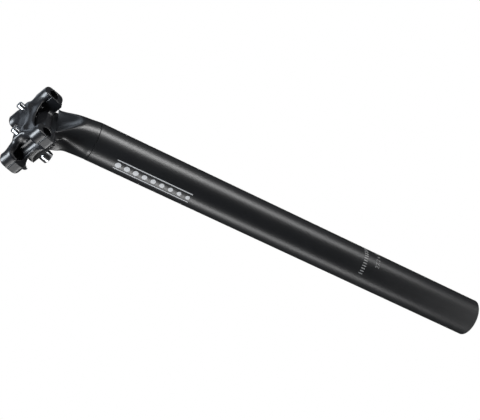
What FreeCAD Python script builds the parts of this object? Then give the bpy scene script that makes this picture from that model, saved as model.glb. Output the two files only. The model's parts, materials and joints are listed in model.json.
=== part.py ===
import FreeCAD, Part
import math
import os
from FreeCAD import Placement, Rotation, Vector

# A bicycle seatpost with two side-by-side bolts, set back behind the post axis.
# Origin: on the post axis at the insertion mark. +X forward, +Y left, +Z up the post.
# The saddle clamp is drawn in its own frame: x along the rails, y left, z away from the post,
# with its origin midway between the two rail centres.

# Driving dimensions in millimetres and degrees

# Tube
post_d = 27.2
tube_wall = 2.4
insertion = 100.0
exposed = 211.0
butt_chamfer = 0.8
bore_chamfer = 0.6
seam_chamfer = 0.45

# Place of the clamp
rail_height = 39.4
setback = 12.0
rail_slope = 17.5

# Rails and their clamp
rail_d = 7.0
rail_spacing = 44.0
rail_clearance = 0.05
channel_relief = 0.3
relief_half_length = 9.0
clamp_length = 38.0
split_gap = 0.35
lip_height = 1.2
lip_gap = 0.25
lobe_half_width = 5.1

# Upper clamp
upper_lobe_top = 7.5
bridge_underside = 3.4
bridge_edge = 1.3
bridge_half_width = 18.8
bridge_shoulder = 9.2
crest_height = 9.8
crest_dip = 1.8
crest_half_length = 4.6
upper_waist = 7.8
upper_waist_radius = 24.7
upper_side_radius = 9.2
boss_radius = 3.8
boss_underside = 1.4

# Lower cradle
seat_overrun = 0.67
cradle_corner = 2.8
cradle_flat = 4.5
cradle_waist = 9.7
cradle_front_drop = 4.0
cradle_waist_corner = 4.0
cradle_side = 21.5
cradle_side_radius = 13.0
skirt_thickness = 3.6
skirt_half_width = 17.5
skirt_start_angle = 24.0
skirt_end_angle = 53.0
skirt_tip_angle = 5.0

# Rocker between the cradle and the head
rocker_radius = 19.0
rocker_top = 5.5
rocker_gap = 0.15
ear_thickness = 3.4
ear_half_width = 19.0
ear_rear = 9.2
ear_front = 13.0
ear_corner = 3.0
tilt_travel = 10.0

# Bolts and their half-moon washers
bolt_d = 5.0
bolt_spacing = 29.0
bolt_length = 25.7
bolt_clearance = 0.3
bolt_head_d = 8.5
bolt_head_height = 6.0
bolt_head_chamfer = 0.5
bolt_tip_chamfer = 0.6
hex_across_flats = 4.0
hex_depth = 2.6
thread_play = 0.05
washer_seat = 12.2
washer_half_width = 4.0
washer_half_length = 7.8

# Forged head
neck_lean = 5.2
neck_overlap = 2.0
neck_length = 34.0
neck_low_radius = 13.48
neck_top_radius = 12.58
cheek_start = 19.0
cheek_end = 31.0
cheek_half_width = 15.0
front_stop_margin_angle = 3.4
web_half_width = 8.5
web_rear = 8.2
web_rear_angle = 20.3
pocket_straight = 8.0
pocket_flare_radius = 11.0
pocket_front = 16.8
pocket_roof = 14.5
dish_slope = 45.0
dish_flare = 36.0
dish_reach = 4.6
dish_height = 18.6
dish_run = 17.0
spigot_length = 32.0
spigot_bore = 16.0
spigot_step = 0.3
glue_gap = 0.05

# Sizes worked out from the driving dimensions

post_radius = post_d / 2
tube_bore_radius = post_radius - tube_wall
socket_radius = tube_bore_radius + spigot_step
half_length = clamp_length / 2
half_split = split_gap / 2
rail_y = rail_spacing / 2
channel_radius = rail_d / 2 + rail_clearance
bolt_y = bolt_spacing / 2
bolt_radius = bolt_d / 2
bolt_hole_radius = bolt_radius + bolt_clearance
rocker_centre = -rocker_top - rocker_radius
ear_inner_radius = rocker_radius - ear_thickness
rocker_seat_radius = rocker_radius + rocker_gap
seat_end = cradle_waist + seat_overrun
cradle_depth = -rocker_centre - math.sqrt(rocker_seat_radius ** 2 - seat_end ** 2)
cradle_front_angle = math.degrees(math.asin(cradle_waist / rocker_seat_radius))
front_stop_angle = cradle_front_angle + tilt_travel + front_stop_margin_angle
reach = 4 * clamp_length

SIDES = (1, -1)
X = Vector(1, 0, 0)
Y = Vector(0, 1, 0)
Z = Vector(0, 0, 1)
clamp_place = Placement(Vector(-setback, 0, exposed + rail_height), Rotation(Y, rail_slope))


def loop(*items):
    """Closed wire through points in order; a (via, end) pair makes an arc to its end."""
    first = items[0]
    last = items[-1][1] if isinstance(items[-1], tuple) else items[-1]
    closing = () if last.isEqual(first, 1e-6) else (first,)
    edges = []
    start = first
    for item in items[1:] + closing:
        if isinstance(item, tuple):
            via, end = item
            edges.append(Part.Arc(start, via, end).toShape())
        else:
            end = item
            edges.append(Part.LineSegment(start, end).toShape())
        start = end
    return Part.Wire(edges)


def prism(wire, direction):
    return Part.Face(wire).extrude(direction)


def across(wire, half_width):
    """Prism of a side outline (drawn at y = 0) from -half_width to +half_width."""
    solid = prism(wire, Y * (2 * half_width))
    solid.translate(Y * -half_width)
    return solid


def turned(wire):
    """Solid of revolution about Z of an outline drawn in the XZ plane."""
    return Part.Face(wire).revolve(Vector(), Z, 360)


def rocker_cylinder(radius, half_width):
    return Part.makeCylinder(radius, 2 * half_width, Vector(0, -half_width, rocker_centre), Y)


def on_rocker(radius, angle):
    """Point of the side outline at an angle from straight up, positive towards the front."""
    turn = math.radians(angle)
    return Vector(radius * math.sin(turn), 0, rocker_centre + radius * math.cos(turn))


def rail_channel(side):
    """Rail hole that grips at both ends and is relieved between them."""
    grip_start = Vector(-half_length - 1, side * rail_y, 0)
    grip = Part.makeCylinder(channel_radius, clamp_length + 2, grip_start, X)
    relief_start = Vector(-relief_half_length, side * rail_y, 0)
    relief = Part.makeCylinder(channel_radius + channel_relief, 2 * relief_half_length, relief_start, X)
    return grip.fuse(relief)


def bolt_hole(side, radius):
    return Part.makeCylinder(radius, reach, Vector(0, side * bolt_y, -reach / 2), Z)


def post_tube():
    """Tube with a chamfered butt end and a shallow socket for the head at its top."""
    base = -insertion
    outline = loop(
        Vector(tube_bore_radius + bore_chamfer, 0, base),
        Vector(post_radius - butt_chamfer, 0, base),
        Vector(post_radius, 0, base + butt_chamfer),
        Vector(post_radius, 0, exposed - seam_chamfer),
        Vector(post_radius - seam_chamfer, 0, exposed),
        Vector(socket_radius, 0, exposed),
        Vector(socket_radius, 0, exposed - spigot_length),
        Vector(tube_bore_radius, 0, exposed - spigot_length),
        Vector(tube_bore_radius, 0, base + bore_chamfer),
    )
    return turned(outline)


def inner_lip(side, low, high):
    """Strip along the bridge side of a bar, between two heights."""
    inner = rail_y - lobe_half_width
    start = Vector(-half_length, min(side * inner, side * rail_y), low)
    return Part.makeBox(clamp_length, lobe_half_width, high - low, start)


def upper_bar(side):
    """Half tube over one rail: straight sides, round top, waisted in at its middle."""
    middle = side * rail_y
    low = half_split
    shoulder = upper_lobe_top - lobe_half_width
    x = -half_length
    outline = loop(
        Vector(x, middle - lobe_half_width, low),
        Vector(x, middle - lobe_half_width, shoulder),
        (Vector(x, middle, upper_lobe_top), Vector(x, middle + lobe_half_width, shoulder)),
        Vector(x, middle + lobe_half_width, low),
    )
    bar = prism(outline, X * clamp_length)
    waist_centre = Vector(0, side * (bridge_half_width + upper_side_radius), -reach / 2)
    waist = Part.makeCylinder(upper_side_radius, reach, waist_centre)
    return bar.cut([waist, inner_lip(side, 0, lip_height + lip_gap)])


def upper_bridge():
    """Roof between the two bars, with a crest that carries both bolt tips."""
    foot = bridge_underside
    eave = foot + bridge_edge
    flank = (crest_height + eave) / 2 - 1.0
    middle = (crest_half_length + upper_waist) / 2
    roof = loop(
        Vector(-half_length, 0, foot),
        Vector(-half_length, 0, eave),
        Vector(-upper_waist - 1, 0, eave),
        (Vector(-middle, 0, flank), Vector(-crest_half_length, 0, crest_height)),
        Vector(crest_half_length, 0, crest_height),
        (Vector(middle, 0, flank), Vector(upper_waist + 1, 0, eave)),
        Vector(half_length, 0, eave),
        Vector(half_length, 0, foot),
    )
    top_edge = bolt_y + bolt_radius
    dip_edge = bolt_y - bolt_radius
    x = -half_length - 1
    front_view = loop(
        Vector(x, -bridge_half_width, 0),
        Vector(x, -bridge_half_width, bridge_shoulder),
        Vector(x, -top_edge, crest_height),
        Vector(x, -dip_edge, crest_height),
        (Vector(x, 0, crest_height - crest_dip), Vector(x, dip_edge, crest_height)),
        Vector(x, top_edge, crest_height),
        Vector(x, bridge_half_width, bridge_shoulder),
        Vector(x, bridge_half_width, 0),
    )
    bridge = across(roof, bridge_half_width).common(prism(front_view, X * (clamp_length + 2)))
    for end in (1, -1):
        centre = Vector(end * (upper_waist + upper_waist_radius), 0, -reach / 2)
        bridge = bridge.cut(Part.makeCylinder(upper_waist_radius, reach, centre))
    return bridge


def upper_clamp():
    body = upper_bridge()
    for side in SIDES:
        boss_base = Vector(0, side * bolt_y, boss_underside)
        boss = Part.makeCylinder(boss_radius, crest_height - boss_underside - crest_dip, boss_base)
        body = body.fuse([upper_bar(side), boss])
    for side in SIDES:
        body = body.cut([rail_channel(side), bolt_hole(side, bolt_radius + thread_play)])
    return body.removeSplitter()


def cradle_bar(side):
    """Half tube under one rail: flat sides, rounded lower corners, waisted in at its middle."""
    middle = side * rail_y
    low = -cradle_depth
    left = middle - lobe_half_width
    right = middle + lobe_half_width
    bend = cradle_corner * (1 - math.sqrt(0.5))
    x = -half_length
    outline = loop(
        Vector(x, left, -half_split),
        Vector(x, left, low + cradle_corner),
        (Vector(x, left + bend, low + bend), Vector(x, left + cradle_corner, low)),
        Vector(x, right - cradle_corner, low),
        (Vector(x, right - bend, low + bend), Vector(x, right, low + cradle_corner)),
        Vector(x, right, -half_split),
    )
    bar = prism(outline, X * clamp_length).fuse(inner_lip(side, -half_split, lip_height))
    waist_centre = Vector(0, side * (cradle_side + cradle_side_radius), -reach / 2)
    return bar.cut(Part.makeCylinder(cradle_side_radius, reach, waist_centre))


def end_notch(end):
    """Round-cornered notch between the cradle's bars, at the front (+1) or the rear (-1)."""
    inner = rail_y - lobe_half_width
    corner = cradle_waist_corner
    bend = corner * (1 - math.sqrt(0.5))
    low = -reach / 4
    near = end * cradle_waist
    far = end * (half_length + 1)
    plan = loop(
        Vector(far, -inner, low),
        Vector(near + end * corner, -inner, low),
        (Vector(near + end * bend, -inner + bend, low), Vector(near, -inner + corner, low)),
        Vector(near, inner - corner, low),
        (Vector(near + end * bend, inner - bend, low), Vector(near + end * corner, inner, low)),
        Vector(far, inner, low),
    )
    return prism(plan, Z * (reach / 2))


def cradle_block():
    """Middle of the cradle between the bars, sloping down to its front and rear edges."""
    ridge = -half_split
    eave = ridge - cradle_front_drop
    roof = loop(
        Vector(-half_length, 0, -cradle_depth),
        Vector(-half_length, 0, eave),
        Vector(-cradle_waist, 0, eave),
        Vector(-cradle_flat, 0, ridge),
        Vector(cradle_flat, 0, ridge),
        Vector(cradle_waist, 0, eave),
        Vector(half_length, 0, eave),
        Vector(half_length, 0, -cradle_depth),
    )
    return across(roof, rail_y - channel_radius).cut([end_notch(1), end_notch(-1)])


def rear_skirt():
    """Curved lip that carries the rocker seat down behind the head."""
    inner = rocker_seat_radius
    outer = inner + skirt_thickness
    middle = (skirt_start_angle + skirt_end_angle) / 2
    tip = on_rocker((inner + outer) / 2, -skirt_end_angle - skirt_tip_angle)
    outline = loop(
        on_rocker(inner, -skirt_start_angle),
        (on_rocker(inner, -middle), on_rocker(inner, -skirt_end_angle)),
        (tip, on_rocker(outer, -skirt_end_angle)),
        (on_rocker(outer, -middle), on_rocker(outer, -skirt_start_angle)),
    )
    return across(outline, skirt_half_width)


def lower_cradle():
    body = cradle_block().fuse([cradle_bar(1), cradle_bar(-1)])
    body = body.cut(rocker_cylinder(rocker_seat_radius, reach / 4))
    body = body.fuse(rear_skirt())
    for side in SIDES:
        body = body.cut([rail_channel(side), bolt_hole(side, bolt_hole_radius)])
    return body.removeSplitter()


def clamp_bolt(side):
    """Socket head bolt, drawn with its seat at z = 0 and its tip upwards."""
    head_radius = bolt_head_d / 2
    low = -bolt_head_height
    outline = loop(
        Vector(0, 0, low),
        Vector(head_radius - bolt_head_chamfer, 0, low),
        Vector(head_radius, 0, low + bolt_head_chamfer),
        Vector(head_radius, 0, 0),
        Vector(bolt_radius, 0, 0),
        Vector(bolt_radius, 0, bolt_length - bolt_tip_chamfer),
        Vector(bolt_radius - bolt_tip_chamfer, 0, bolt_length),
        Vector(0, 0, bolt_length),
    )
    hex_radius = hex_across_flats / math.sqrt(3)
    corners = []
    for number in range(6):
        turn = math.radians(60 * number)
        corners.append(Vector(hex_radius * math.cos(turn), hex_radius * math.sin(turn), low))
    socket = prism(loop(*corners), Z * hex_depth)
    drill = Part.makeCone(hex_across_flats / 2, 0, hex_across_flats / 4, Vector(0, 0, low + hex_depth))
    bolt = turned(outline).cut([socket, drill])
    bolt.translate(Vector(0, side * bolt_y, -washer_seat))
    return bolt


def tilt_washer(side):
    """Half-moon washer: round on top to follow the ear, flat below for the bolt head."""
    round_top = rocker_cylinder(ear_inner_radius - rocker_gap, reach / 4)
    blank = Part.makeBox(
        2 * washer_half_length,
        2 * washer_half_width,
        reach,
        Vector(-washer_half_length, side * bolt_y - washer_half_width, -washer_seat),
    )
    return blank.common(round_top).cut(bolt_hole(side, bolt_hole_radius))


def neck():
    """Tapered neck that leans back from the seam and widens into a cheek under each clamp bar."""
    lean = Placement(Z * exposed, Rotation(Y, -neck_lean))
    height = neck_overlap + neck_length
    taper = Part.makeCone(neck_low_radius, neck_top_radius, height, Z * -neck_overlap)
    shrink = (neck_low_radius - neck_top_radius) / height
    start_radius = neck_low_radius - shrink * (neck_overlap + cheek_start)
    end_radius = neck_low_radius - shrink * (neck_overlap + cheek_end)
    foot = Part.makeCircle(start_radius, Z * cheek_start, Z, 90, 450)
    widest = Vector(0, cheek_half_width, cheek_end)
    top = Part.Ellipse(widest, Vector(-end_radius, 0, cheek_end), Z * cheek_end)
    cheeks = Part.makeLoft([Part.Wire(foot), Part.Wire(top.toShape())], True, True)
    body = taper.fuse(cheeks)
    body.Placement = lean
    below = Part.makeBox(2 * post_d, 2 * post_d, post_d, Vector(-post_d, -post_d, exposed - post_d))
    return body.cut(below)


def dish():
    """Cone-shaped scoop out of the neck's front: its floor runs straight up, widening as it goes."""
    slope = math.radians(dish_slope)
    flare = math.radians(dish_flare)
    along = Vector(-math.cos(slope), 0, math.sin(slope))
    outward = Vector(math.sin(slope), 0, math.cos(slope))
    apex = Vector(dish_reach, 0, exposed + dish_height) - along * dish_run
    axis = along * math.cos(flare) + outward * math.sin(flare)
    return Part.makeCone(0, reach * math.tan(flare), reach, apex, axis)


def above_rocker():
    """Everything over the rocker surface that the cradle sweeps, back from the front stop."""
    far = reach / 2
    outline = loop(
        Vector(0, 0, rocker_centre),
        on_rocker(far, front_stop_angle),
        Vector(far, 0, far),
        Vector(-far, 0, far),
        Vector(-far, 0, rocker_centre),
    )
    return across(outline, reach / 4).cut(rocker_cylinder(rocker_radius, reach / 2))


def rocker_ear():
    """Curved plate across the head, with round corners and a slot for each bolt."""
    low = rocker_centre
    bend = ear_corner * (1 - math.sqrt(0.5))
    side = ear_half_width
    plan = loop(
        Vector(-ear_rear, -side + ear_corner, low),
        (Vector(-ear_rear + bend, -side + bend, low), Vector(-ear_rear + ear_corner, -side, low)),
        Vector(ear_front - ear_corner, -side, low),
        (Vector(ear_front - bend, -side + bend, low), Vector(ear_front, -side + ear_corner, low)),
        Vector(ear_front, side - ear_corner, low),
        (Vector(ear_front - bend, side - bend, low), Vector(ear_front - ear_corner, side, low)),
        Vector(-ear_rear + ear_corner, side, low),
        (Vector(-ear_rear + bend, side - bend, low), Vector(-ear_rear, side - ear_corner, low)),
    )
    ring = rocker_cylinder(rocker_radius, reach / 4).cut(rocker_cylinder(ear_inner_radius, reach / 2))
    return ring.common(prism(plan, Z * reach))


def tilt_slot(side):
    """Slot that lets a bolt swing through the ear over the whole tilt travel."""
    turn = math.radians(tilt_travel)
    swing = rocker_radius * math.sin(turn)
    half_width = bolt_hole_radius
    half_slot = swing + half_width / math.cos(turn) - half_width
    y = side * bolt_y
    low = rocker_centre + ear_inner_radius / 2
    plan = loop(
        Vector(-half_slot, y - half_width, low),
        Vector(half_slot, y - half_width, low),
        (Vector(half_slot + half_width, y, low), Vector(half_slot, y + half_width, low)),
        Vector(-half_slot, y + half_width, low),
        (Vector(-half_slot - half_width, y, low), Vector(-half_slot, y - half_width, low)),
    )
    return prism(plan, Z * reach)


def web():
    """Flat-sided web between the two bolt pockets, from the neck up to the ear."""
    middle = (rocker_radius + ear_inner_radius) / 2
    outline = loop(
        Vector(web_rear, 0, rocker_centre),
        on_rocker(middle, -web_rear_angle),
        on_rocker(middle, 0),
        (on_rocker(middle, front_stop_angle / 2), on_rocker(middle, front_stop_angle)),
        Vector(rocker_radius, 0, rocker_centre),
    )
    return across(outline, web_half_width)


def bolt_pocket(side):
    """Pocket beside the web that gives the bolt head and its key room under the ear."""
    far = reach / 4
    low = rocker_centre - far
    run = pocket_front - pocket_straight
    half = run / 2
    flare = web_half_width + pocket_flare_radius - math.sqrt(pocket_flare_radius ** 2 - run ** 2)
    via = web_half_width + pocket_flare_radius - math.sqrt(pocket_flare_radius ** 2 - half ** 2)
    plan = loop(
        Vector(-far, side * web_half_width, low),
        Vector(pocket_straight, side * web_half_width, low),
        (
            Vector(pocket_straight + half, side * via, low),
            Vector(pocket_front, side * flare, low),
        ),
        Vector(pocket_front, side * far, low),
        Vector(-far, side * far, low),
    )
    rise = math.degrees(math.asin(pocket_straight / ear_inner_radius))
    under_ear = loop(
        Vector(-far, 0, low),
        Vector(-far, 0, rocker_centre),
        Vector(-ear_inner_radius, 0, rocker_centre),
        (on_rocker(ear_inner_radius, -rise), on_rocker(ear_inner_radius, rise)),
        Vector(pocket_front + 1, 0, -pocket_roof),
        Vector(pocket_front + 1, 0, low),
    )
    return prism(plan, Z * (2 * far)).common(across(under_ear, 2 * far))


def spigot():
    """Hollow stub that is bonded into the socket at the top of the tube."""
    radius = socket_radius - glue_gap
    bottom = Vector(0, 0, exposed - spigot_length)
    return Part.makeCylinder(radius, spigot_length + neck_overlap, bottom)


def spigot_hollow():
    radius = spigot_bore / 2
    bottom = Vector(0, 0, exposed - spigot_length)
    drill_point = Part.makeCone(radius, 0, radius / 2, bottom + Z * spigot_length)
    return Part.makeCylinder(radius, spigot_length, bottom).fuse(drill_point)


def in_place(shape):
    placed = shape.copy()
    placed.Placement = clamp_place.multiply(shape.Placement)
    return placed


def post_head():
    body = neck().fuse([in_place(web()), in_place(rocker_ear())])
    body = body.cut(in_place(above_rocker()))
    body = body.cut([in_place(bolt_pocket(side)) for side in SIDES])
    body = body.cut(dish())
    body = body.cut([in_place(tilt_slot(side)) for side in SIDES])
    return body.fuse(spigot()).cut(spigot_hollow()).removeSplitter()


pieces = {
    "post_tube": post_tube(),
    "post_head": post_head(),
    "lower_cradle": in_place(lower_cradle()),
    "upper_clamp": in_place(upper_clamp()),
    "clamp_bolt_left": in_place(clamp_bolt(1)),
    "clamp_bolt_right": in_place(clamp_bolt(-1)),
    "tilt_washer_left": in_place(tilt_washer(1)),
    "tilt_washer_right": in_place(tilt_washer(-1)),
}

os.makedirs("parts", exist_ok=True)
for name, shape in pieces.items():
    shape.exportStep("parts/" + name + ".step")
    box = shape.BoundBox
    print(name, len(shape.Solids), shape.isValid(), round(shape.Volume, 1), box)
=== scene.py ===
# %% [markdown]
# A bicycle seatpost, dressed for a studio picture
# The CAD solids already have every size and every fit. This lesson puts skins over them that look
# like the real thing: a bead-blasted black tube, forged parts with soft edges, turned steel bolts.
# Everything stays in metres and in the CAD's own frame: +X is the front of the bicycle, +Y its
# left, +Z runs up the post, and the origin is on the axis at the insertion mark.

# %% Load the frame and keep its box
import json
import math

import bmesh
import bpy
import numpy as np
from mathutils import Matrix, Vector


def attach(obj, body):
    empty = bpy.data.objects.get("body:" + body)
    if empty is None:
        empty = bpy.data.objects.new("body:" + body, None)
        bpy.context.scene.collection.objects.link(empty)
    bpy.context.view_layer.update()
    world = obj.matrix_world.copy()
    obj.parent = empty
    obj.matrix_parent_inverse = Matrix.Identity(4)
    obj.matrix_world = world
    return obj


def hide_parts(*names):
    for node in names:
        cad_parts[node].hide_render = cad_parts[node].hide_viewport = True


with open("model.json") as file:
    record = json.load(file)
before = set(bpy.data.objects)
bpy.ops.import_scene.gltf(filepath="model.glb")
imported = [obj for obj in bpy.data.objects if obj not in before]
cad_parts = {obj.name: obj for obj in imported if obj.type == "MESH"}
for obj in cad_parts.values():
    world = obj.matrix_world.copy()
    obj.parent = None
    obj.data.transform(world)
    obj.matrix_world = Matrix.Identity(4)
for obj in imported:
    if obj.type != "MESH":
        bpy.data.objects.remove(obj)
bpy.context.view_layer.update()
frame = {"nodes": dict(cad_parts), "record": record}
MM = 0.001
print("nodes:", sorted(frame["nodes"]))

# %% [markdown]
# Places and sizes
# A dressed piece must sit on the solid it stands for, so the few sizes that the skins share with
# the solids are written here once. The clamp is drawn in a frame of its own that slopes with the
# saddle rails; one matrix carries it to its place on the post.

# %% Sizes shared with the solids
TUBE_RADIUS = 13.6 * MM
BUTT = -100 * MM
SEAM = 211 * MM
RAIL_SLOPE = math.radians(17.5)
ROCKER_BELOW_RAILS = 24.5 * MM
BOLT_SIDE = 14.5 * MM
BOLT_SEAT = -12.2 * MM
SIDES = ((1, "left"), (-1, "right"))
rocker = Vector(frame["record"]["behaviour"]["joints"][0]["pos_m"])
clamp_turn = Matrix.Rotation(RAIL_SLOPE, 4, "Y")
to_rails = Matrix.Translation((0, 0, ROCKER_BELOW_RAILS))
clamp_place = Matrix.Translation(rocker) @ clamp_turn @ to_rails
print("rail centre plane at", [round(c / MM, 2) for c in clamp_place.translation], "mm")

# %% [markdown]
# Node maths that reads like Python
# A shader or a Geometry Nodes tree is a sum written with boxes and wires. Wiring each Math node by
# hand hides the sum, so a small class stands for a number on a wire and overloads + - * /. A graph
# makes every other kind of node from one method: its type, its settings, its sockets.


# %% A number on a wire
class Number:
    def __init__(self, graph, socket):
        self.graph = graph
        self.socket = socket

    def math(self, operation, *values):
        return self.graph.out("ShaderNodeMath", {"operation": operation}, dict(enumerate(values)))

    def sin(self):
        return self.math("SINE", self)

    def cos(self):
        return self.math("COSINE", self)

    def __add__(self, other):
        return self.math("ADD", self, other)

    def __sub__(self, other):
        return self.math("SUBTRACT", self, other)

    def __rsub__(self, other):
        return self.math("SUBTRACT", other, self)

    def __mul__(self, other):
        return self.math("MULTIPLY", self, other)

    def __truediv__(self, other):
        return self.math("DIVIDE", self, other)

    __radd__ = __add__
    __rmul__ = __mul__


print("numbers ready")


# %% The graph that owns the wires
class Graph:
    def __init__(self, tree):
        self.tree = tree

    def node(self, kind, settings=None, sockets=None):
        made = self.tree.nodes.new(kind)
        for key, value in (settings or {}).items():
            setattr(made, key, value)
        for key, value in (sockets or {}).items():
            if isinstance(value, Number):
                self.tree.links.new(value.socket, made.inputs[key])
            else:
                made.inputs[key].default_value = value
        return made

    def out(self, kind, settings=None, sockets=None, result=0):
        return Number(self, self.node(kind, settings, sockets).outputs[result])


print("graphs ready")

# %% [markdown]
# Black anodised aluminium
# The tube is bead-blasted and then anodised black: the beads leave a fine even grain, and the dye
# a satin surface with a cool tint. The skin is aluminium oxide, which bends light more than plastic
# does, so its index of refraction is set and highlights come out strong on a very dark colour. A
# flat black would still look like plastic, so the grain moves the colour, the roughness and a very
# shallow bump, and a slow cloud keeps long highlights from being ruler straight. The forged parts
# share the recipe with their own grain and smoothness.


# %% Steps that every finish shares
def shader(name):
    """Empty material, and the graph that fills it."""
    material = bpy.data.materials.new(name)
    material.use_nodes = True
    material.node_tree.nodes.clear()
    return material, Graph(material.node_tree)


def surface(graph, settings):
    """Principled shader wired to the output, with its constants and links."""
    skin = graph.node("ShaderNodeBsdfPrincipled", {}, settings)
    graph.node("ShaderNodeOutputMaterial", {}, {"Surface": Number(graph, skin.outputs[0])})


def noise(graph, place, size):
    return graph.out("ShaderNodeTexNoise", {}, {"Vector": place, "Scale": 1 / size, "Detail": 2.0})


def between(graph, factor, low, high):
    """Colour between two, by a factor on a wire."""
    sockets = {0: factor, 6: (*low, 1), 7: (*high, 1)}
    return graph.out("ShaderNodeMix", {"data_type": "RGBA"}, sockets, 2)


print("finish steps ready")

# %% Anodised finishes
OXIDE_IOR = 1.77
CLOUD_SIZE = 14 * MM
GRAIN_SHARE = 0.7
TONE_SWING = 0.28
GRAIN_ROUGHNESS = 0.12
CLOUD_ROUGHNESS = 0.06
BUMP_STRENGTH = 0.35
DEEP_BLACK = (0.016, 0.017, 0.019)
CLAMP_BLACK = (0.018, 0.019, 0.022)
WASHER_BLACK = (0.0158, 0.0166, 0.0184)


def anodised(name, colour, roughness, grain_size, grain_depth, specular=0.5):
    material, graph = shader(name)
    place = graph.out("ShaderNodeTexCoord", result="Object")
    grain = noise(graph, place, grain_size)
    cloud = noise(graph, place, CLOUD_SIZE)
    tone = grain * GRAIN_SHARE + cloud * (1 - GRAIN_SHARE)
    dark = [(1 - TONE_SWING) * c for c in colour]
    light = [(1 + TONE_SWING) * c for c in colour]
    uneven = (grain - 0.5) * GRAIN_ROUGHNESS + (cloud - 0.5) * CLOUD_ROUGHNESS
    relief = {"Height": grain, "Strength": BUMP_STRENGTH, "Distance": grain_depth}
    surface(graph, {
        "Base Color": between(graph, tone, dark, light),
        "Roughness": roughness + uneven,
        "IOR": OXIDE_IOR,
        "Specular IOR Level": specular,
        "Normal": graph.out("ShaderNodeBump", {}, relief),
    })
    return material


tube_black = anodised("bead_blasted_black", DEEP_BLACK, 0.36, 0.55 * MM, 0.08 * MM)
forging_black = anodised("forged_black", DEEP_BLACK, 0.33, 0.55 * MM, 0.08 * MM)
clamp_black = anodised("smooth_forged_black", CLAMP_BLACK, 0.34, 0.4 * MM, 0.015 * MM)
washer_black = anodised("washer_black", WASHER_BLACK, 0.52, 0.3 * MM, 0.03 * MM, 0.2)
print("four black finishes")

# %% [markdown]
# Steel, etch and white print
# The bolts are bright turned steel: fine rings run round the bolt, so the noise is squeezed along
# the bolt's own axis, which a Mapping node lines up with the sloping clamp. The tick row is laser
# etched, which bleaches the dye to a light grey. The side decoration is a white print. Both marks
# are plain greys that change a little from speck to speck.

# %% Steel and marks
RING_SIZE = 0.12 * MM
RING_SQUEEZE = (0.05, 0.05, 1)
SPOT_SIZE = 0.8 * MM
STEEL_DARK = (0.58, 0.59, 0.61)
STEEL_LIGHT = (0.74, 0.75, 0.76)
STEEL_ROUGHNESS = 0.16
RING_ROUGHNESS = 0.16
SPECK_SIZE = 0.25 * MM
SPECK_ROUGHNESS = 0.2


def turned_steel():
    material, graph = shader("turned_steel")
    place = graph.out("ShaderNodeTexCoord", result="Object")
    squeeze = {"Vector": place, "Rotation": (0, -RAIL_SLOPE, 0), "Scale": RING_SQUEEZE}
    rings = noise(graph, graph.out("ShaderNodeMapping", {}, squeeze), RING_SIZE)
    spots = noise(graph, place, SPOT_SIZE)
    surface(graph, {
        "Base Color": between(graph, spots, STEEL_DARK, STEEL_LIGHT),
        "Metallic": 1.0,
        "Roughness": STEEL_ROUGHNESS + rings * RING_ROUGHNESS,
    })
    return material


def marking(name, low, high, roughness):
    """Dull mark with greys from low to high."""
    material, graph = shader(name)
    speck = noise(graph, graph.out("ShaderNodeTexCoord", result="Object"), SPECK_SIZE)
    surface(graph, {
        "Base Color": between(graph, speck, [low] * 3, [high] * 3),
        "Roughness": roughness + (speck - 0.5) * SPECK_ROUGHNESS,
    })
    return material


bolt_steel = turned_steel()
etch_grey = marking("etched_grey", 0.36, 0.64, 0.55)
print_white = marking("printed_white", 0.88, 0.95, 0.42)
print("steel and two marks")

# %% [markdown]
# The tube
# A tube is a lathe shape: one outline, turned about the axis. Each ring of the outline is a row of
# points and neighbouring rows are joined by quads. A ring may also be a hexagon, which the bolt's
# key socket needs later, so a ring is a radius, a height and a number of corners.


# %% Turn an outline into a skin
def ring_point(radius, height, corners, turn):
    if corners:
        step = math.tau / corners
        radius = radius / math.cos((turn + step / 2) % step - step / 2)
    return Vector((radius * math.cos(turn), radius * math.sin(turn), height))


def turned(name, rings, segments, closed=False):
    """Skin of revolution about Z; rings are (radius, height, corners), no corners for a circle."""
    shape = bmesh.new()
    turns = [math.tau * i / segments for i in range(segments)]
    rows = []
    for radius, height, corners in rings:
        if radius == 0:
            rows.append([shape.verts.new((0, 0, height))] * segments)
            continue
        rows.append([shape.verts.new(ring_point(radius, height, corners, t)) for t in turns])
    for low, high in zip(rows, rows[1:] + rows[:1] if closed else rows[1:]):
        for i in range(segments):
            j = (i + 1) % segments
            corner = []
            for vertex in (low[i], low[j], high[j], high[i]):
                if vertex not in corner:
                    corner.append(vertex)
            shape.faces.new(corner)
    bmesh.ops.recalc_face_normals(shape, faces=shape.faces)
    return mesh_of(name, shape)


def mesh_of(name, shape):
    """Mesh with a bmesh's content; the bmesh goes."""
    mesh = bpy.data.meshes.new(name)
    shape.to_mesh(mesh)
    shape.free()
    return mesh


print("lathe ready")


# %% Smooth a mesh and put it in its place
def smooth_by_angle(mesh, degrees):
    for face in mesh.polygons:
        face.use_smooth = True
    mesh.set_sharp_from_angle(angle=math.radians(degrees))


def show(name, content):
    """Object at the origin, in the scene."""
    shown = bpy.data.objects.new(name, content)
    bpy.context.scene.collection.objects.link(shown)
    return shown


def place_piece(name, mesh, material, body, slot, *nodes):
    """Piece that rides on a body and stands for its CAD nodes."""
    piece = show(name, mesh)
    if material:
        mesh.materials.clear()
        mesh.materials.append(material)
    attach(piece, body)
    if nodes:
        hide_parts(*nodes)
    print(name, len(mesh.polygons), "faces")


print("pieces can be placed")

# %% [markdown]
# The tube's outline
# The butt end is rounded on its outside and chamfered on its inside, and a shallow socket at the
# top takes the head's stub. Where the tube meets the head a fine dark line shows. It is a real
# groove with a steep side: a wide chamfer would catch a lamp and turn the line bright.

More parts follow.
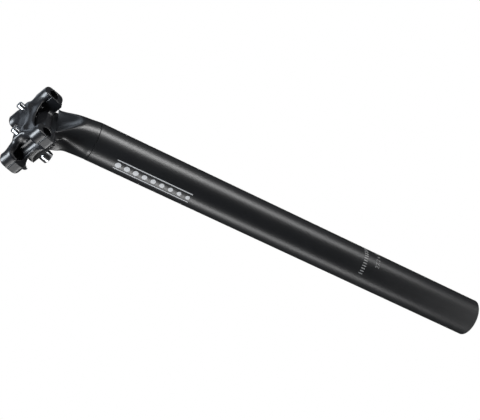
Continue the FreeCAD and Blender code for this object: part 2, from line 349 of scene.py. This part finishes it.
# %% The tube
BORE = 11.2 * MM
SOCKET = 11.5 * MM
SOCKET_DEPTH = 32 * MM
BUTT_ROUND = 0.8 * MM
BORE_CHAMFER = 0.6 * MM
SEAM_DEPTH = 0.45 * MM
SEAM_EDGE = 0.12 * MM
TUBE_SEGMENTS = 160
TURNED_SMOOTH = 31
rounding = [math.radians(a) for a in (90, 60, 30, 0)]
outline = [(BORE, BUTT + BORE_CHAMFER, 0), (BORE + BORE_CHAMFER, BUTT, 0)]
for turn in rounding:
    reach = TUBE_RADIUS - BUTT_ROUND + BUTT_ROUND * math.cos(turn)
    outline.append((reach, BUTT + BUTT_ROUND - BUTT_ROUND * math.sin(turn), 0))
outline += [
    (TUBE_RADIUS, SEAM - SEAM_EDGE, 0),
    (TUBE_RADIUS - SEAM_DEPTH, SEAM, 0),
    (SOCKET, SEAM, 0),
    (SOCKET, SEAM - SOCKET_DEPTH, 0),
    (BORE, SEAM - SOCKET_DEPTH, 0),
]
tube_mesh = turned("tube", outline, TUBE_SEGMENTS, closed=True)
smooth_by_angle(tube_mesh, TURNED_SMOOTH)
place_piece("tube", tube_mesh, tube_black, "post", "black_tube", "post_tube")

# %% [markdown]
# Forged parts with soft edges
# The head and both clamp halves are hot forged, so no edge on them is sharp. Bevelling every edge
# of a solid with many cuts is fragile. Instead a merged copy of the solid is rebuilt as an even
# skin of small voxels, and the skin is relaxed: each point moves a little towards its neighbours.
# Flat and round faces hardly move, while edges turn into smooth rounds. Two options make it act
# like a die: one only fills hollow corners, the other gives back the height that a long relaxing
# takes away.

# %% Rebuild a skin
MERGE = 0.001 * MM


def result_of(tool):
    """Mesh of a loose object after its modifiers; the object goes."""
    view = bpy.context.evaluated_depsgraph_get()
    mesh = bpy.data.meshes.new_from_object(tool.evaluated_get(view))
    bpy.data.objects.remove(tool)
    return mesh


def even_skin(node, voxel, place=Matrix.Identity(4), cutter=None, extra=None):
    """Voxel skin of a merged copy of a CAD node, drawn in a place's own frame.

    A cutter is taken away first and an extra mesh is added on."""
    shape = bmesh.new()
    shape.from_mesh(frame["nodes"][node].data)
    bmesh.ops.remove_doubles(shape, verts=shape.verts, dist=MERGE)
    bmesh.ops.transform(shape, matrix=place.inverted(), verts=shape.verts)
    blank = show("blank", mesh_of("blank", shape))
    if cutter:
        blank.modifiers.new("cut", "BOOLEAN").object = cutter
        shape = bmesh.new()
        shape.from_mesh(result_of(blank))
        bpy.data.objects.remove(cutter)
        shape.from_mesh(extra)
        blank = show("blank", mesh_of("blank", shape))
    rebuild = blank.modifiers.new("voxels", "REMESH")
    rebuild.mode = "VOXEL"
    rebuild.voxel_size = voxel
    return result_of(blank)


print("voxel skins ready")

# %% Relax a skin
STRIDE = 0.5


def points_of(mesh):
    points = np.empty(3 * len(mesh.vertices))
    mesh.vertices.foreach_get("co", points)
    return points.reshape(-1, 3)


def move_points(mesh, points):
    mesh.vertices.foreach_set("co", points.ravel())
    mesh.update()


def relax(mesh, rounds, share, fill=False, back=0):
    """Moves points towards the mean of their neighbours, by a share from 0 to 1 for each point.

    With fill, only moves that go outwards count: hollow corners fill up and edges stay. With back,
    what was lost is spread over that many rounds and given back, so that a rim keeps its height."""
    points = points_of(mesh)
    first = points.copy()
    edges = np.empty(2 * len(mesh.edges), dtype=int)
    mesh.edges.foreach_get("vertices", edges)
    a, b = edges.reshape(-1, 2).T
    count = np.bincount(edges, minlength=len(points))
    outward = np.empty(3 * len(points))
    mesh.vertex_normals.foreach_get("vector", outward)
    outward = outward.reshape(-1, 3)

    def pull(field):
        move = np.empty_like(field)
        for axis in range(3):
            column = field[:, axis]
            total = np.bincount(a, column[b], len(field)) + np.bincount(b, column[a], len(field))
            move[:, axis] = total / count - column
        return move

    for _ in range(rounds):
        move = pull(points)
        weight = STRIDE * share
        if fill:
            weight = weight * ((move * outward).sum(axis=1) > 0)
        points += weight[:, None] * move
    lost = first - points
    for _ in range(back):
        lost += STRIDE * pull(lost)
    if back:
        points += lost
    move_points(mesh, points)


def rise(values, start, end):
    """Smooth step from 0 at start to 1 at end."""
    t = np.clip((values - start) / (end - start), 0, 1)
    return t * t * (3 - 2 * t)


print("relaxing ready")

# %% [markdown]
# The head
# The head is one forging: a round neck that leans back, a dish scooped out of its front, and a
# curved ear that the clamp rocks on. What the clamp slides on or stops against has to stay true, so
# a share near nothing holds the ear's faces and the front stop still. The rim of the dish is the
# opposite: hundreds of rounds turn its edge into the broad soft ridge that a die leaves.

# %% What the head has to keep
EAR_OUTER = 19 * MM
EAR_INNER = 15.6 * MM
FRONT_STOP = math.radians(43.83)
HEAD_VOXEL = 0.36 * MM
FIT_KEEP = (0.3 * MM, 1.2 * MM)
STOP_KEEP = (0.3 * MM, 1.5 * MM)
EAR_ZONE = (8.5 * MM, 10.5 * MM)
head_mesh = even_skin("post_head", HEAD_VOXEL)
head_points = points_of(head_mesh)
inverse = np.array(clamp_place.inverted())
x, _, z = (head_points @ inverse[:3, :3].T + inverse[:3, 3]).T
z = z + ROCKER_BELOW_RAILS
radius = np.hypot(x, z)
from_stop = abs(x * math.cos(FRONT_STOP) - z * math.sin(FRONT_STOP))
free = rise(abs(radius - EAR_OUTER), *FIT_KEEP) * rise(abs(radius - EAR_INNER), *FIT_KEEP)
free = np.maximum(free * rise(from_stop, *STOP_KEEP), 1 - rise(z, *EAR_ZONE))
print("head points:", len(free), "of them held:", int((free == 0).sum()))

# %% Relax the head
SEAM_KEEP = (0.2 * MM, 2 * MM)
RIM_FOOT = (2 * MM, 6 * MM)
RIM_TOP = (20 * MM, 29 * MM)
RIM_FRONT = (-14 * MM, -8 * MM)
HELD_SHARE = 0.15
EDGE_ROUNDS = 8
RIM_FILL = 200
RIM_ROUNDS = 500
RIM_BACK = 350
FORGED_SMOOTH = 60
height = head_points[:, 2] - SEAM
edges_share = rise(height, *SEAM_KEEP) * (HELD_SHARE + (1 - HELD_SHARE) * free)
relax(head_mesh, EDGE_ROUNDS, edges_share)
rim = rise(height, *RIM_FOOT) * (1 - rise(height, *RIM_TOP))
rim *= rise(head_points[:, 0], *RIM_FRONT) * free
relax(head_mesh, RIM_FILL, rim, fill=True)
relax(head_mesh, RIM_ROUNDS, rim, back=RIM_BACK)
smooth_by_angle(head_mesh, FORGED_SMOOTH)
place_piece("head", head_mesh, forging_black, "post", "black_forging", "post_head")

# %% [markdown]
# Arches under the upper clamp
# From the side the upper clamp is an arch: four arms run out from the bolts to the ends of the two
# rail bars, with a hollow between each pair. Modelling that as one surface is hard work. Here a
# tunnel is cut out of the merged copy, and rods for the arms, a wall and a boss round each bolt are
# laid into it. They may overlap, because the voxel rebuild that follows melts them into one skin.

# %% Rods and arms
ROD_SEGMENTS = 64


def add_rod(shape, radius, length, place):
    sizes = {"segments": ROD_SEGMENTS, "radius1": radius, "radius2": radius, "depth": length}
    bmesh.ops.create_cone(shape, cap_ends=True, matrix=place, **sizes)


def add_arm(shape, radius, start, end):
    """Rod between two points."""
    run = end - start
    lie = run.to_track_quat("Z", "Y").to_matrix().to_4x4()
    add_rod(shape, radius, run.length, Matrix.Translation((start + end) / 2) @ lie)


print("rods ready")

# %% Tunnels, walls, bosses and arms
ARCH_TOP = 5.4 * MM
ARCH_RADIUS = 10.4 * MM
ARCH_INNER = 15.6 * MM
ARCH_WIDTH = 14 * MM
WALL = (20 * MM, 2.0 * MM, 4.4 * MM)
WALL_INSET = 0.9 * MM
WALL_MIDDLE = 2.6 * MM
BOSS_RADIUS = 3.4 * MM
BOSS_LENGTH = 8.4 * MM
BOSS_MIDDLE = 5.0 * MM
ARM_RADIUS = 2.7 * MM
ARM_ROOT = Vector((1.5, 15.5, 6.3)) * MM
ARM_TIP = Vector((14, 21.8, 4.6)) * MM

def arches():
    """A tunnel under each side of the bridge to cut, and what is then laid in."""
    tunnel = bmesh.new()
    backs = bmesh.new()
    across = Matrix.Rotation(math.pi / 2, 4, "X")
    for side, _ in SIDES:
        middle = (0, side * (ARCH_INNER + ARCH_WIDTH / 2), ARCH_TOP - ARCH_RADIUS)
        add_rod(tunnel, ARCH_RADIUS, ARCH_WIDTH, Matrix.Translation(middle) @ across)
        wall = Matrix.Translation((0, side * (ARCH_INNER - WALL_INSET), WALL_MIDDLE))
        bmesh.ops.create_cube(backs, size=1, matrix=wall @ Matrix.Diagonal((*WALL, 1)))
        boss = Matrix.Translation((0, side * BOLT_SIDE, BOSS_MIDDLE))
        add_rod(backs, BOSS_RADIUS, BOSS_LENGTH, boss)
        for end in (1, -1):
            mirror = Vector((end, side, 1))
            add_arm(backs, ARM_RADIUS, ARM_ROOT * mirror, ARM_TIP * mirror)
    return show("tunnel", mesh_of("tunnel", tunnel)), mesh_of("backs", backs)


print("arches ready")

# %% [markdown]
# Bar ends and the split
# The ends of the rail bars are rounded off away from the rail, the rear lower ones most. A bevel
# would follow the edge evenly, but a die rounds such an end like an egg, so points past an ellipse
# are simply drawn in to it. Between the halves only a hairline shows on the outside. The solids
# keep a wider gap for the fit, so the two outer lips are moved together once they are relaxed.

# %% Shape the bar ends
BAR_END = 19 * MM
UPPER_END_START = 3.0 * MM
UPPER_END_HEIGHT = 4.6 * MM
UPPER_END_LENGTH = 2.2 * MM
LOWER_END_START = 3.4 * MM
LOWER_END_HEIGHT = 5.1 * MM
LOWER_FRONT_LENGTH = 1.8 * MM
LOWER_REAR_LENGTH = 4.4 * MM
SKIRT_KEEP = (16.5 * MM, 17.6 * MM)


def rounded_end(x, depth, start, length, height):
    """Draws bar ends in along an ellipse, more with the depth past a start."""
    t = np.clip((depth - start) / height, 0, 1)
    limit = BAR_END - length * (1 - np.sqrt(1 - t * t))
    return np.sign(x) * np.minimum(abs(x), limit)


def round_bar_ends(mesh, upper):
    points = points_of(mesh)
    x, y, z = points.T
    if upper:
        points[:, 0] = rounded_end(x, z, UPPER_END_START, UPPER_END_LENGTH, UPPER_END_HEIGHT)
    else:
        bar = np.where(x > 0, 1, rise(abs(y), *SKIRT_KEEP))
        length = np.where(x > 0, LOWER_FRONT_LENGTH, LOWER_REAR_LENGTH)
        points[:, 0] += bar * (rounded_end(x, -z, LOWER_END_START, length, LOWER_END_HEIGHT) - x)
    move_points(mesh, points)


print("bar ends ready")

# %% Close the split
RAIL_SIDE = 22 * MM
UPPER_LIP = (0.4 * MM, 0.9 * MM)
UPPER_LIP_MOVE = -0.3 * MM
LOWER_LIP = (0.6 * MM, 1.0 * MM)
LOWER_LIP_MOVE = 0.5 * MM


def close_split(mesh, upper):
    points = points_of(mesh)
    _, y, z = points.T
    if upper:
        points[:, 2] += UPPER_LIP_MOVE * (1 - rise(z, *UPPER_LIP)) * (abs(y) > RAIL_SIDE)
    else:
        points[:, 2] += LOWER_LIP_MOVE * rise(z, *LOWER_LIP)
    move_points(mesh, points)


print("split ready")

# %% [markdown]
# The clamp halves flow from bar to bridge
# A forging die leaves large hollows where the bars meet the bridge. The relaxing is repeated many
# times for that, but only on the outside: a share that fades to nothing keeps the rail channels,
# the lower half's bolt holes and the rocker seat at their true size. The voxels lie along the
# clamp's own frame, because a sloping edge across upright voxels comes out like a saw, and a few
# rounds all over wipe off the small steps that are left.

# %% Both clamp halves
SEAT_RADIUS = 19.15 * MM
CLAMP_VOXEL = 0.30 * MM
SPLIT_KEEP = (0.3 * MM, 1.6 * MM)
RAIL_KEEP = (3.9 * MM, 4.8 * MM)
BOLT_KEEP = (2.8 * MM, 3.6 * MM)
END_KEEP = (0.2 * MM, 2.0 * MM)
END_SHARE = 0.25
STEP_ROUNDS = 5
# Each half with its rounds of filling and of softening
HALVES = (("lower_cradle", 60, 14), ("upper_clamp", 240, 130))
for half, fill_rounds, soft_rounds in HALVES:
    upper = half == "upper_clamp"
    tunnel, backs = arches() if upper else (None, None)
    half_mesh = even_skin(half, CLAMP_VOXEL, clamp_place, tunnel, backs)
    round_bar_ends(half_mesh, upper)
    x, y, z = points_of(half_mesh).T
    outside = rise(abs(z), *SPLIT_KEEP) * rise(np.hypot(abs(y) - RAIL_SIDE, z), *RAIL_KEEP)
    outside *= rise(abs(np.hypot(x, z + ROCKER_BELOW_RAILS) - SEAT_RADIUS), *FIT_KEEP)
    if not upper:
        outside *= rise(np.hypot(x, abs(y) - BOLT_SIDE), *BOLT_KEEP)
    from_end = rise(BAR_END - abs(x), *END_KEEP)
    relax(half_mesh, STEP_ROUNDS, np.ones(len(x)))
    relax(half_mesh, fill_rounds, outside, fill=True)
    soft = outside * (END_SHARE + (1 - END_SHARE) * from_end)
    relax(half_mesh, soft_rounds, soft, back=soft_rounds // 2)
    close_split(half_mesh, upper)
    half_mesh.transform(clamp_place)
    smooth_by_angle(half_mesh, FORGED_SMOOTH)
    place_piece(half + "_skin", half_mesh, clamp_black, "clamp", "black_clamp", half)

# %% [markdown]
# Bolts and washers
# Each bolt is a lathe shape too: a rounded head with a hexagon key socket under it, a plain shank
# and a threaded end that stands out of the upper clamp. The half-moon washers are simple enough
# that the CAD solids themselves are shown, with the washer's finish.

# %% The bolt's outline
BOLT_RADIUS = 2.5 * MM
THREAD_DEPTH = 0.32 * MM
THREAD_PITCH = 0.8 * MM
HEAD_RADIUS = 4.25 * MM
HEAD_HEIGHT = 6 * MM
HEAD_ROUND = 0.5 * MM
HEAD_CHAMFER = 0.25 * MM
BOLT_LENGTH = 25.7 * MM
TIP_CHAMFER = 0.3 * MM
THREAD_START = 14 * MM
KEY = 2 * MM
KEY_DEPTH = 2.6 * MM
core = BOLT_RADIUS - THREAD_DEPTH
bolt_outline = [
    (0, -HEAD_HEIGHT + KEY_DEPTH + KEY / 2, 0),
    (KEY, -HEAD_HEIGHT + KEY_DEPTH, 6),
    (KEY, -HEAD_HEIGHT, 6),
    (HEAD_RADIUS - HEAD_ROUND, -HEAD_HEIGHT, 0),
]
for turn in rounding[1:]:
    reach = HEAD_RADIUS - HEAD_ROUND + HEAD_ROUND * math.cos(turn)
    bolt_outline.append((reach, -HEAD_HEIGHT + HEAD_ROUND - HEAD_ROUND * math.sin(turn), 0))
bolt_outline += [
    (HEAD_RADIUS, -HEAD_CHAMFER, 0),
    (HEAD_RADIUS - HEAD_CHAMFER, 0, 0),
    (BOLT_RADIUS, 0, 0),
    (BOLT_RADIUS, THREAD_START, 0),
    (core, THREAD_START + THREAD_DEPTH, 0),
    (core, BOLT_LENGTH - TIP_CHAMFER, 0),
    (core - TIP_CHAMFER, BOLT_LENGTH, 0),
    (0, BOLT_LENGTH, 0),
]
print("bolt outline of", len(bolt_outline), "rings")

# %% Bolt bodies and washers
BOLT_SEGMENTS = 48
for side, word in SIDES:
    bolt_mesh = turned("bolt_" + word, bolt_outline, BOLT_SEGMENTS)
    bolt_mesh.transform(clamp_place @ Matrix.Translation((0, side * BOLT_SIDE, BOLT_SEAT)))
    smooth_by_angle(bolt_mesh, TURNED_SMOOTH)
    place_piece("bolt_" + word, bolt_mesh, bolt_steel, "clamp", "bolt_steel", "clamp_bolt_" + word)
    washer = frame["nodes"]["tilt_washer_" + word].data
    washer.materials.clear()
    washer.materials.append(washer_black)

# %% [markdown]
# What repeats: Geometry Nodes
# A thread, a row of ribs and a row of ticks all repeat one small shape by a rule, which is what
# Geometry Nodes are for. Each tree is built here with named inputs for its sizes. The result is
# read back as a plain mesh, so nothing live is left behind.


# %% Build a tree and read its mesh
def growing(name, inputs):
    """Geometry Nodes tree with number inputs; returns its graph and the inputs as wires."""
    tree = bpy.data.node_groups.new(name, "GeometryNodeTree")
    tree.interface.new_socket("Mesh", in_out="OUTPUT", socket_type="NodeSocketGeometry")
    for label, value in inputs.items():
        kind = "NodeSocketInt" if isinstance(value, int) else "NodeSocketFloat"
        tree.interface.new_socket(label, in_out="INPUT", socket_type=kind).default_value = value
    graph = Graph(tree)
    entry = graph.node("NodeGroupInput")
    return graph, {label: Number(graph, entry.outputs[label]) for label in inputs}


def close_tree(graph, shape, material):
    whole = graph.out("GeometryNodeRealizeInstances", {}, {0: shape})
    painted = graph.out("GeometryNodeSetMaterial", {}, {"Geometry": whole, "Material": material})
    graph.node("NodeGroupOutput", {}, {0: painted})


def grown(graph, values):
    """Plain mesh of a tree, with its inputs set by their identifiers."""
    holder = show("holder", bpy.data.meshes.new("holder"))
    modifier = holder.modifiers.new("grow", "NODES")
    modifier.node_group = graph.tree
    for item in graph.tree.interface.items_tree:
        if item.in_out == "INPUT":
            modifier[item.identifier] = values[item.name]
    return result_of(holder)


print("trees can grow")


# %% Small steps inside a tree
def vector(graph, x=0.0, y=0.0, z=0.0):
    return graph.out("ShaderNodeCombineXYZ", {}, {0: x, 1: y, 2: z})


def moved(graph, shape, place):
    return graph.out("GeometryNodeTransform", {}, {"Geometry": shape, "Translation": place})


def positioned(graph, shape, place):
    return graph.out("GeometryNodeSetPosition", {}, {"Geometry": shape, "Position": place})


def joined(graph, *shapes):
    both = graph.node("GeometryNodeJoinGeometry")
    for shape in shapes:
        graph.tree.links.new(shape.socket, both.inputs[0])
    return Number(graph, both.outputs[0])


print("tree tools ready")

# %% [markdown]
# The bolt's thread
# A thread is a small ridge on a helix. A Spiral curve gives the helix, a four-sided profile swept
# along it gives the ridge, and the normals are held upright so that the ridge keeps pointing out.

# %% Threads on both bolts
THREAD_RIDGE = 0.36 * MM
THREAD_RUNOUT = 0.5 * MM
THREAD_FOOT = 0.2 * MM
THREAD_SMOOTH = 40
thread_sizes = {
    "Turns": (BOLT_LENGTH - THREAD_START) / THREAD_PITCH,
    "Radius": BOLT_RADIUS - THREAD_RIDGE,
    "Height": BOLT_LENGTH - THREAD_START - THREAD_RUNOUT,
    "Ridge": THREAD_RIDGE,
}
graph, size = growing("thread", thread_sizes)
helix = graph.out("GeometryNodeCurveSpiral", {}, {
    "Resolution": 28, "Rotations": size["Turns"], "Start Radius": size["Radius"],
    "End Radius": size["Radius"], "Height": size["Height"],
})
upright = graph.out("GeometryNodeSetCurveNormal", {"mode": "Z_UP"}, {"Curve": helix})
profile = graph.out("GeometryNodeCurvePrimitiveCircle", {}, {
    "Resolution": 4, "Radius": size["Ridge"],
})
ridge = graph.out("GeometryNodeCurveToMesh", {}, {
    "Curve": upright, "Profile Curve": profile, "Fill Caps": True,
})
close_tree(graph, ridge, bolt_steel)
for side, word in SIDES:
    thread_mesh = grown(graph, thread_sizes)
    foot = (0, side * BOLT_SIDE, BOLT_SEAT + THREAD_START + THREAD_FOOT)
    thread_mesh.transform(clamp_place @ Matrix.Translation(foot))
    smooth_by_angle(thread_mesh, THREAD_SMOOTH)
    place_piece("bolt_thread_" + word, thread_mesh, None, "clamp", "bolt_steel")

# %% [markdown]
# Ribs on the half-moon washers
# Each washer has a fine ribbed band along its round edge, on both of its flat sides. The ribs stand
# on an arc about the rocker's axis, so one line of points is bent into that arc by its index.

# %% Ribs
rib_sizes = {
    "Count": 25,
    "Step": math.radians(2.1),
    "Radius": 14.62 * MM,
    "Width": 0.27 * MM,
    "Height": 1.4 * MM,
    "Stand": 0.24 * MM,
    "Half Width": 4.0 * MM,
}
graph, size = growing("ribs", rib_sizes)
line = graph.out("GeometryNodeMeshLine", {}, {"Count": size["Count"]})
index = graph.out("GeometryNodeInputIndex")
angle = (index - (size["Count"] - 1) / 2) * size["Step"]
arc = vector(graph, angle.sin() * size["Radius"], 0.0, angle.cos() * size["Radius"])
rib = graph.out("GeometryNodeMeshCube", {}, {
    "Size": vector(graph, size["Width"], size["Stand"], size["Height"]),
})
row = graph.out("GeometryNodeInstanceOnPoints", {}, {
    "Points": positioned(graph, line, arc),
    "Instance": rib,
    "Rotation": vector(graph, 0.0, angle, 0.0),
})
flanks = [moved(graph, row, vector(graph, 0.0, size["Half Width"] * side)) for side in (1, -1)]
close_tree(graph, joined(graph, *flanks), washer_black)
for side, word in SIDES:
    rib_mesh = grown(graph, rib_sizes)
    rib_mesh.transform(clamp_place @ Matrix.Translation((0, side * BOLT_SIDE, -ROCKER_BELOW_RAILS)))
    place_piece("washer_ribs_" + word, rib_mesh, None, "clamp", "black_washer")

# %% [markdown]
# The etched tick row
# A ring of short etched bars marks how deep the post has to go in. They lie on the tube's skin like
# a film, a hair proud of it, spaced evenly round the front.

# %% Ticks
tick_sizes = {
    "Count": 16,
    "Start": math.radians(-74),
    "Step": math.radians(8.4),
    "Radius": TUBE_RADIUS,
    "Film": 0.06 * MM,
    "Width": 0.6 * MM,
    "Length": 3.0 * MM,
}
graph, size = growing("ticks", tick_sizes)
line = graph.out("GeometryNodeMeshLine", {}, {"Count": size["Count"]})
angle = size["Start"] + graph.out("GeometryNodeInputIndex") * size["Step"]
ring = vector(graph, angle.cos() * size["Radius"], angle.sin() * size["Radius"])
bar = graph.out("GeometryNodeMeshCube", {}, {
    "Size": vector(graph, size["Film"], size["Width"], size["Length"]),
})
row = graph.out("GeometryNodeInstanceOnPoints", {}, {
    "Points": positioned(graph, line, ring),
    "Instance": bar,
    "Rotation": vector(graph, 0.0, 0.0, angle),
})
close_tree(graph, row, etch_grey)
place_piece("insertion_ticks", grown(graph, tick_sizes), None, "post", "black_tube")

# %% [markdown]
# The etched size
# The post's diameter and length are etched below the ticks. Blender's text is flat, so its mesh is
# cut into narrow upright strips first and then rolled round the tube; without the cuts each letter
# would be a flat tile that dips under the curved skin.

# %% Roll a line of text round the tube
STRIP = 0.3 * MM
ETCH_FILM = 0.03 * MM
CUT_TOLERANCE = 1e-7
LETTER_SIZE = 4.4 * MM
LINE_START = math.radians(-40)
LINE_HEIGHT = -11.5 * MM


def rolled(mesh, start, height, lift):
    """Wraps a flat mesh: x runs round the tube from the start angle, y runs up from a height."""
    shape = bmesh.new()
    shape.from_mesh(mesh)
    low = min(v.co.x for v in shape.verts)
    high = max(v.co.x for v in shape.verts)
    for i in range(1, int((high - low) / STRIP) + 1):
        everything = shape.verts[:] + shape.edges[:] + shape.faces[:]
        plane = {"plane_co": (low + i * STRIP, 0, 0), "plane_no": (1, 0, 0)}
        bmesh.ops.bisect_plane(shape, geom=everything, dist=CUT_TOLERANCE, **plane)
    reach = TUBE_RADIUS + lift
    for vertex in shape.verts:
        turn = start + vertex.co.x / TUBE_RADIUS
        vertex.co = Vector((reach * math.cos(turn), reach * math.sin(turn), height + vertex.co.y))
    bmesh.ops.solidify(shape, geom=shape.faces[:], thickness=lift)
    shape.to_mesh(mesh)
    shape.free()


writing = bpy.data.curves.new("etched_size", "FONT")
writing.body = "27.2 x 350"
writing.size = LETTER_SIZE
size_mesh = result_of(show("etched_size", writing))
rolled(size_mesh, LINE_START, LINE_HEIGHT, ETCH_FILM)
place_piece("etched_size", size_mesh, etch_grey, "post", "black_tube")

# %% [markdown]
# The white side print
# A screen print runs down the right side below the seam: a row of dots that shrink downwards
# between two thin lines. The tree lays it out flat, with x round the tube and y along it, and its
# last step rolls every point round the axis, so the dots need rings of points inside their rim to
# bend.

# %% Dots between two lines
print_sizes = {
    "Count": 9,
    "Pitch": 6.6 * MM,
    "Dot": 2.1 * MM,
    "Shrink": 0.07 * MM,
    "Half Width": 3.6 * MM,
    "Line": 0.7 * MM,
    "Film": 0.03 * MM,
    "Top": SEAM - 20 * MM,
    "Radius": TUBE_RADIUS,
    "Side": math.radians(-90),
}
graph, size = growing("side_print", print_sizes)
step = graph.out("GeometryNodeInputIndex")
dots = graph.out("GeometryNodeMeshLine", {}, {"Count": size["Count"]})
dot = graph.out("GeometryNodeMeshCylinder", {"fill_type": "TRIANGLE_FAN"}, {
    "Vertices": 48, "Side Segments": 1, "Fill Segments": 8, "Radius": size["Dot"],
    "Depth": size["Film"],
})
shrunk = 1 - step * size["Shrink"] / size["Dot"]
row = graph.out("GeometryNodeInstanceOnPoints", {}, {
    "Points": positioned(graph, dots, vector(graph, 0.0, step * size["Pitch"] * -1)),
    "Instance": dot,
    "Scale": vector(graph, shrunk, shrunk, 1.0),
})
length = (size["Count"] - 1) * size["Pitch"] + 2 * size["Dot"]
line = graph.out("GeometryNodeMeshCube", {}, {
    "Size": vector(graph, size["Line"], length, size["Film"]), "Vertices X": 4,
})
drop = size["Dot"] - length / 2
lines = [moved(graph, line, vector(graph, size["Half Width"] * side, drop)) for side in (1, -1)]
flat = graph.out("GeometryNodeRealizeInstances", {}, {0: joined(graph, row, *lines)})

# %% Roll the print round the tube
apart = graph.node("ShaderNodeSeparateXYZ", {}, {0: graph.out("GeometryNodeInputPosition")})
round_tube, along, proud = [Number(graph, apart.outputs[axis]) for axis in range(3)]
angle = size["Side"] + round_tube / size["Radius"]
reach = size["Radius"] + proud
bent = vector(graph, angle.cos() * reach, angle.sin() * reach, size["Top"] + along)
close_tree(graph, positioned(graph, flat, bent), print_white)
place_piece("side_print", grown(graph, print_sizes), None, "post", "black_tube")

# %% [markdown]
# Floor and world
# The picture has a pure white ground with no shadow line. More light would burn the object out, so
# the floor and the world show a plain white to the camera and to mirror rays only, and light the
# object as a pale floor and a dim room do.

# %% A pale floor
FLOOR = -550 * MM
FLOOR_RADIUS = 0.45
FLOOR_SEGMENTS = 96
FLOOR_COLOUR = (0.8, 0.8, 0.8, 1)
WHITE = (1, 1, 1, 1)


def seen_white(graph, *rays):
    """One for the kinds of ray that should meet a plain white ground."""
    path = graph.node("ShaderNodeLightPath")
    total = sum((Number(graph, path.outputs[ray]) for ray in rays), 0.0)
    return graph.out("ShaderNodeClamp", {}, {0: total})


disc = bmesh.new()
bmesh.ops.create_circle(disc, cap_ends=True, segments=FLOOR_SEGMENTS, radius=FLOOR_RADIUS)
bmesh.ops.translate(disc, verts=disc.verts, vec=(0, 0, FLOOR))
floor = show("floor", mesh_of("floor", disc))
pale, graph = shader("pale_floor")
lit = graph.out("ShaderNodeBsdfDiffuse", {}, {"Color": FLOOR_COLOUR})
white = graph.out("ShaderNodeEmission", {}, {"Color": WHITE, "Strength": 1.0})
whitened = seen_white(graph, "Is Camera Ray", "Is Glossy Ray", "Is Transmission Ray")
mixed = graph.out("ShaderNodeMixShader", {}, {0: whitened, 1: lit, 2: white})
graph.node("ShaderNodeOutputMaterial", {}, {"Surface": mixed})
floor.data.materials.append(pale)
print("floor at", FLOOR, "m")

# %% A white room
ROOM_LIGHT = 0.02
world = bpy.data.worlds.new("studio")
bpy.context.scene.world = world
world.use_nodes = True
world.node_tree.nodes.clear()
graph = Graph(world.node_tree)
whitened = seen_white(graph, "Is Camera Ray", "Is Transmission Ray")
strength = ROOM_LIGHT + (1 - ROOM_LIGHT) * whitened
sky = graph.out("ShaderNodeBackground", {}, {"Color": WHITE, "Strength": strength})
graph.node("ShaderNodeOutputWorld", {}, {"Surface": sky})
print("room light", ROOM_LIGHT)

# %% [markdown]
# Lamps
# Two long soft highlights run the length of the tube and fade towards its butt end. A highlight on
# a round bar shows a lamp that stands beside it, so tall strip lamps stand upright: one in front of
# the post, one behind its right side, and one at its back for views from there. Each strip is a
# bright panel on a weaker one. Seen from above, a bar mirrors what stands lower than itself, so the
# butt end shows the weak panel. The panels meet and never overlap, because a mirror ray stops at
# the first lamp it meets. A softbox above lights the clamp, and a weak cool one on the far side
# keeps its hollows from going black.


# %% Strips and softboxes
def softbox(name, place, target, width, height, radiance, tint=(1, 1, 1)):
    lamp = bpy.data.lights.new(name, "AREA")
    lamp.shape = "RECTANGLE"
    lamp.size = width
    lamp.size_y = height
    lamp.energy = radiance * math.pi * width * height
    lamp.color = tint
    stand = show(name, lamp)
    stand.visible_camera = False
    stand.location = place
    stand.rotation_euler = (Vector(target) - Vector(place)).to_track_quat("-Z", "Y").to_euler()
    print(name, round(lamp.energy, 2), "W")


CLAMP_HEIGHT = (0, 0, 0.2)
STRIP_BOTTOM = -0.50
STRIP_JOIN = -0.10
LOW_RADIANCE = 3.5
HIGH_RADIANCE = 7.4
# Each strip with its place in x and y, its width and its top
STRIPS = (
    ("front", (0.68, 0.14), 0.25, 0.38),
    ("rear", (-0.47, -0.52), 0.21, 0.12),
    ("back", (-0.38, 0.59), 0.25, 0.08),
)
for word, (x, y), width, top in STRIPS:
    panels = (
        ("low", STRIP_BOTTOM, STRIP_JOIN, LOW_RADIANCE),
        ("high", STRIP_JOIN, top, HIGH_RADIANCE),
    )
    for part, low, high, radiance in panels:
        middle = (low + high) / 2
        name = word + "_strip_" + part
        softbox(name, (x, y, middle), (0, 0, middle), width, high - low, radiance)
softbox("top_softbox", (-0.10, -0.36, 1.05), CLAMP_HEIGHT, 0.5, 0.5, 12.5, (0.86, 0.93, 1.0))
softbox("far_softbox", (0.05, 0.85, 0.75), CLAMP_HEIGHT, 0.8, 0.4, 1.25, (0.78, 0.88, 1.0))

# %% [markdown]
# Camera
# The picture shows the post lying across the frame, but the post stands upright here, so the camera
# is rolled on its side. Its place and its two directions were fitted to the tube's outline; the
# third direction follows from them, which keeps the three at right angles.

# %% Place the camera
LENS = 97.686
SENSOR = 36.0
CAMERA_PLACE = (0.4693575, -0.7152756, 0.3838511)
right = Vector((0.513707, -0.007122, -0.857936))
away = Vector((-0.520005, 0.792784, -0.317945)).normalized()
up = right.cross(away).normalized()
right = away.cross(up)
camera_data = bpy.data.cameras.new("camera")
camera_data.sensor_width = SENSOR
camera_data.sensor_fit = "HORIZONTAL"
camera_data.lens = LENS
camera = show("camera", camera_data)
camera_turn = Matrix((right, up, -away)).transposed().to_4x4()
camera.matrix_world = Matrix.Translation(CAMERA_PLACE) @ camera_turn
bpy.context.scene.camera = camera
bpy.context.scene.view_settings.view_transform = "Standard"
print("camera", camera_data.lens, "mm")
